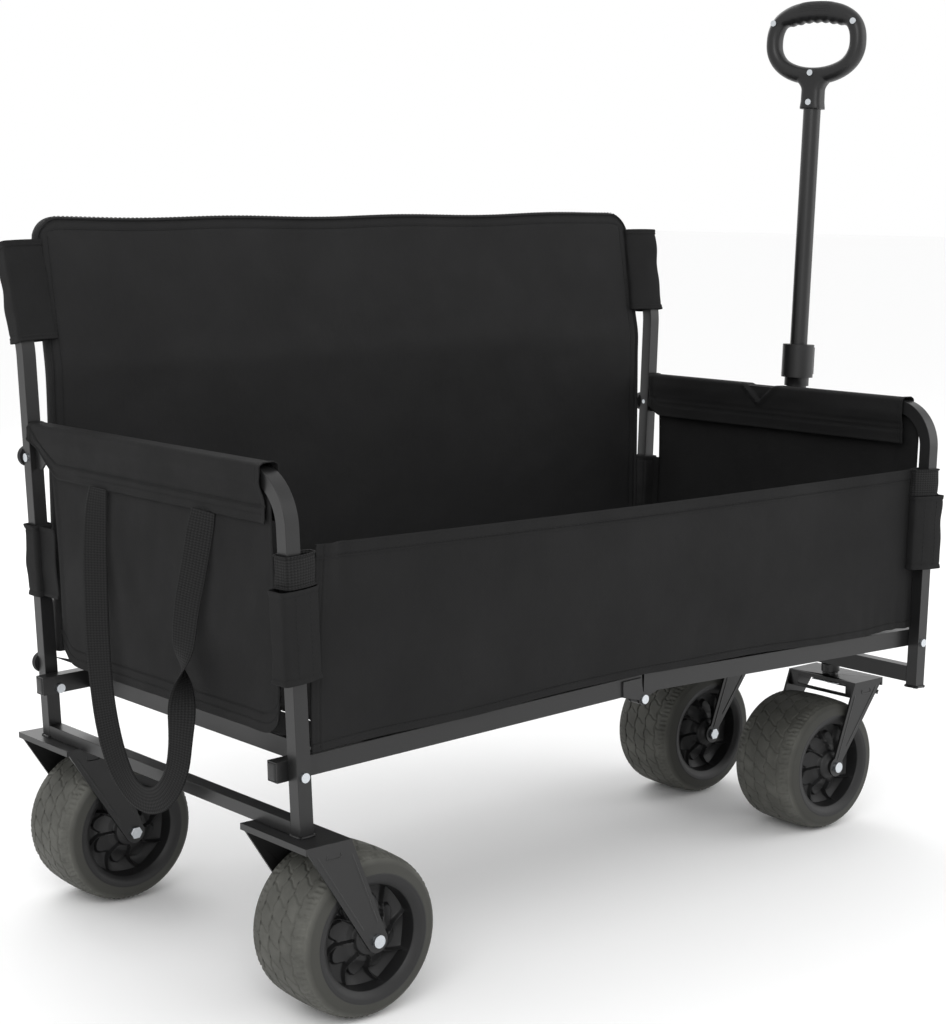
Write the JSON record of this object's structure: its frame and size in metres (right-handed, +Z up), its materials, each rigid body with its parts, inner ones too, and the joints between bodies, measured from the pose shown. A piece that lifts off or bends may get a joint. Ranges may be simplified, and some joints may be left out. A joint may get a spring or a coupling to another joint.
{
  "type": "folding camp wagon",
  "caption": "Folding steel-frame camp wagon with a cloth tub, a tall padded backrest, wide wheels, swivel casters, a telescopic pull handle and a carry strap.",
  "frame": {"origin": "on the ground, under the middle of the whole wagon's length and width", "axes": "+X the way it is pulled, towards the casters and handle; +Y towards the tall backrest; +Z up"},
  "size_m": [1.1479, 0.6128, 1.1217],
  "materials": {
    "powder_coat": "semi-gloss black powder coat",
    "zinc": "bright zinc plating",
    "rubber": "matte moulded rubber",
    "tyre": "dark warm grey tread rubber",
    "rim_plastic": "satin black moulded plastic",
    "oxford_cloth": "black oxford weave",
    "floor_padding": "black oxford cloth sewn over a stiff board",
    "webbing": "black ribbed webbing",
    "grip_plastic": "satin black moulded plastic"
  },
  "bodies": {
    "rear_frame": {"rear_hoop": "powder_coat", "rear_backrest_post": "powder_coat", "rear_cross_bar": "powder_coat", "rear_rail_bracket": "powder_coat", "rear_frame_bolts": "zinc", "rear_bumpers": "rubber", "rear_left_wheel_bracket": "powder_coat", "rear_right_wheel_bracket": "powder_coat", "rear_axle_bolts": "zinc", "low_side_panel": "oxford_cloth", "backrest": "oxford_cloth", "backrest_rear_sleeve": "oxford_cloth", "rear_end_panel": "oxford_cloth", "rear_rail_sleeve": "oxford_cloth", "rear_corner_tabs": "oxford_cloth", "rear_carry_strap": "webbing"},
    "rear_left_wheel": {"rear_left_tyre": "tyre", "rear_left_rim": "rim_plastic"},
    "rear_right_wheel": {"rear_right_tyre": "tyre", "rear_right_rim": "rim_plastic"},
    "rear_arms": {"rear_left_floor_rail": "powder_coat", "rear_right_floor_rail": "powder_coat", "rear_floor_bar": "powder_coat", "rear_floor_board": "floor_padding", "mid_hinge_rivets": "zinc"},
    "front_arms": {"front_left_floor_rail": "powder_coat", "front_right_floor_rail": "powder_coat", "front_floor_bar": "powder_coat", "front_floor_board": "floor_padding"},
    "front_frame": {"front_hoop": "powder_coat", "front_backrest_post": "powder_coat", "front_cross_bar": "powder_coat", "front_rail_bracket": "powder_coat", "front_frame_bolts": "zinc", "front_bumpers": "rubber", "caster_sockets": "powder_coat", "backrest_front_sleeve": "oxford_cloth", "front_end_panel": "oxford_cloth", "front_rail_sleeve": "oxford_cloth", "front_corner_tabs": "oxford_cloth", "handle_bracket": "powder_coat", "handle_cradle": "grip_plastic"},
    "left_caster": {"front_left_caster_fork": "powder_coat", "front_left_fork_hardware": "zinc"},
    "right_caster": {"front_right_caster_fork": "powder_coat", "front_right_fork_hardware": "zinc"},
    "left_brake": {"front_left_brake_lever": "powder_coat"},
    "right_brake": {"front_right_brake_lever": "powder_coat"},
    "front_left_wheel": {"front_left_tyre": "tyre", "front_left_rim": "rim_plastic"},
    "front_right_wheel": {"front_right_tyre": "tyre", "front_right_rim": "rim_plastic"},
    "handle": {"handle_outer_tube": "powder_coat", "handle_collar": "grip_plastic"},
    "lock_button": {"handle_button": "grip_plastic"},
    "handle_slider": {"handle_inner_tube": "powder_coat", "grip_front_shell": "grip_plastic", "grip_back_shell": "grip_plastic", "grip_screws": "zinc"}
  },
  "joints": [
    {"name": "rear_left_wheel_spin", "type": "hinge", "parent": "rear_frame", "child": "rear_left_wheel", "pos_m": [-0.46791, 0.243, 0.09], "axis": [0, 1, 0], "continuous": true},
    {"name": "rear_right_wheel_spin", "type": "hinge", "parent": "rear_frame", "child": "rear_right_wheel", "pos_m": [-0.46791, -0.243, 0.09], "axis": [0, 1, 0], "continuous": true},
    {"name": "fold", "type": "hinge", "parent": "rear_frame", "child": "rear_arms", "pos_m": [-0.53591, 0, 0.271], "axis": [0, -1, 0], "range_deg": [0, 75], "deforming": ["low_side_panel", "backrest", "rear_end_panel"]},
    {"name": "floor_fold", "type": "hinge", "parent": "rear_arms", "child": "front_arms", "pos_m": [-0.03591, 0, 0.271], "axis": [0, -1, 0], "range_deg": [-150, 0]},
    {"name": "front_fold", "type": "hinge", "parent": "front_arms", "child": "front_frame", "pos_m": [0.46409, 0, 0.271], "axis": [0, -1, 0], "range_deg": [0, 75], "deforming": ["front_end_panel"]},
    {"name": "left_caster_swivel", "type": "hinge", "parent": "front_frame", "child": "left_caster", "pos_m": [0.46409, 0.115, 0.201], "axis": [0, 0, 1], "continuous": true},
    {"name": "front_left_wheel_spin", "type": "hinge", "parent": "left_caster", "child": "front_left_wheel", "pos_m": [0.41209, 0.115, 0.09], "axis": [0, 1, 0], "continuous": true},
    {"name": "left_brake", "type": "hinge", "parent": "left_caster", "child": "left_brake", "pos_m": [0.48209, 0.115, 0.19], "axis": [0, 1, 0], "range_deg": [0, 18]},
    {"name": "right_caster_swivel", "type": "hinge", "parent": "front_frame", "child": "right_caster", "pos_m": [0.46409, -0.115, 0.201], "axis": [0, 0, 1], "continuous": true},
    {"name": "front_right_wheel_spin", "type": "hinge", "parent": "right_caster", "child": "front_right_wheel", "pos_m": [0.41209, -0.115, 0.09], "axis": [0, 1, 0], "continuous": true},
    {"name": "right_brake", "type": "hinge", "parent": "right_caster", "child": "right_brake", "pos_m": [0.48209, -0.115, 0.19], "axis": [0, 1, 0], "range_deg": [0, 18]},
    {"name": "handle_tilt", "type": "hinge", "parent": "front_frame", "child": "handle", "pos_m": [0.49109, 0, 0.205], "axis": [0, 1, 0], "range_deg": [0, 90]},
    {"name": "handle_slide", "type": "slide", "parent": "handle", "child": "handle_slider", "axis": [0.0506, 0, 0.9987], "range_m": [-0.316, 0]},
    {"name": "lock_button_press", "type": "slide", "parent": "handle", "child": "lock_button", "axis": [-0.9987, 0, 0.0506], "range_m": [0, 0.0025], "stiffness_N_per_m": 400}
  ],
  "couplings": [
    {"joint": "floor_fold", "follows": "fold", "ratio": -2},
    {"joint": "front_fold", "follows": "fold", "ratio": 1}
  ]
}
